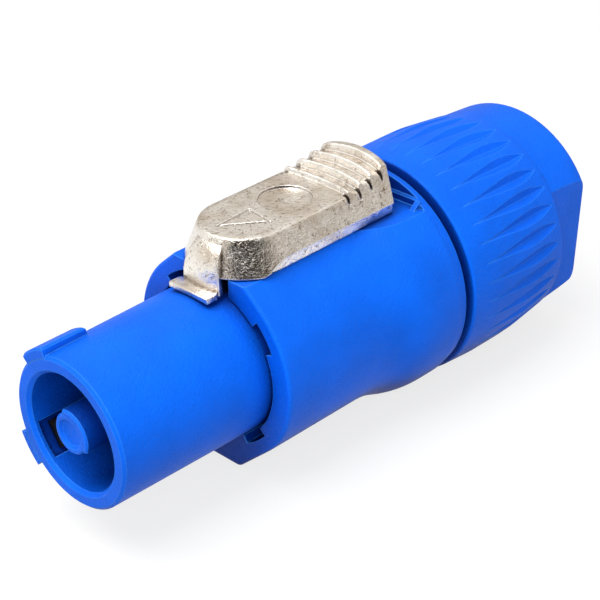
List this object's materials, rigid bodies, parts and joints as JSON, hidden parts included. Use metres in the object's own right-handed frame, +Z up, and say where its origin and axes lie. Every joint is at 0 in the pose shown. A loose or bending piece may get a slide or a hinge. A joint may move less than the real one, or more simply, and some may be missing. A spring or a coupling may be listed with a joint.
{
  "type": "twist-lock power cable connector",
  "caption": "Blue twist-lock mains power cable connector: round mating barrel with bayonet lugs and keyed post, sliding metal latch, flared housing and fluted bushing.",
  "frame": {"origin": "centre of the mating face, on the connector's axis", "axes": "+X along the connector's axis from the mating face to the cable end, +Z up through the latch"},
  "size_m": [0.077, 0.03, 0.0334],
  "materials": {
    "blue_plastic": "satin, finely grained",
    "chuck_plastic": "satin",
    "latch_metal": "nickel-plated die casting, grainy",
    "contact_brass": "nickel-plated",
    "steel": "satin"
  },
  "bodies": {
    "body": {"housing": "blue_plastic", "contact_carrier": "blue_plastic", "contact_line": "contact_brass", "wire_clamp_line": "steel", "terminal_screw_line": "steel", "contact_neutral": "contact_brass", "wire_clamp_neutral": "steel", "terminal_screw_neutral": "steel", "contact_earth": "contact_brass", "wire_clamp_earth": "steel", "terminal_screw_earth": "steel", "latch_spring": "steel"},
    "latch": {"latch": "latch_metal"},
    "chuck": {"cable_chuck": "chuck_plastic"},
    "bushing": {"bushing": "blue_plastic"}
  },
  "joints": [
    {"name": "latch_slide", "type": "slide", "parent": "body", "child": "latch", "axis": [1, 0, 0], "range_m": [0, 0.0018], "stiffness_N_per_m": 800, "springref_m": -0.003, "deforming": ["latch_spring"]},
    {"name": "chuck_slide", "type": "slide", "parent": "body", "child": "chuck", "axis": [1, 0, 0], "range_m": [-0.00101, 0.00751]},
    {"name": "bushing_turn", "type": "hinge", "parent": "chuck", "child": "bushing", "pos_m": [0.064, 0, 0], "axis": [1, 0, 0], "range_deg": [-144, 1080]}
  ],
  "couplings": [
    {"joint": "chuck_slide", "follows": "bushing_turn", "m_per_rad": 0.00039789}
  ]
}
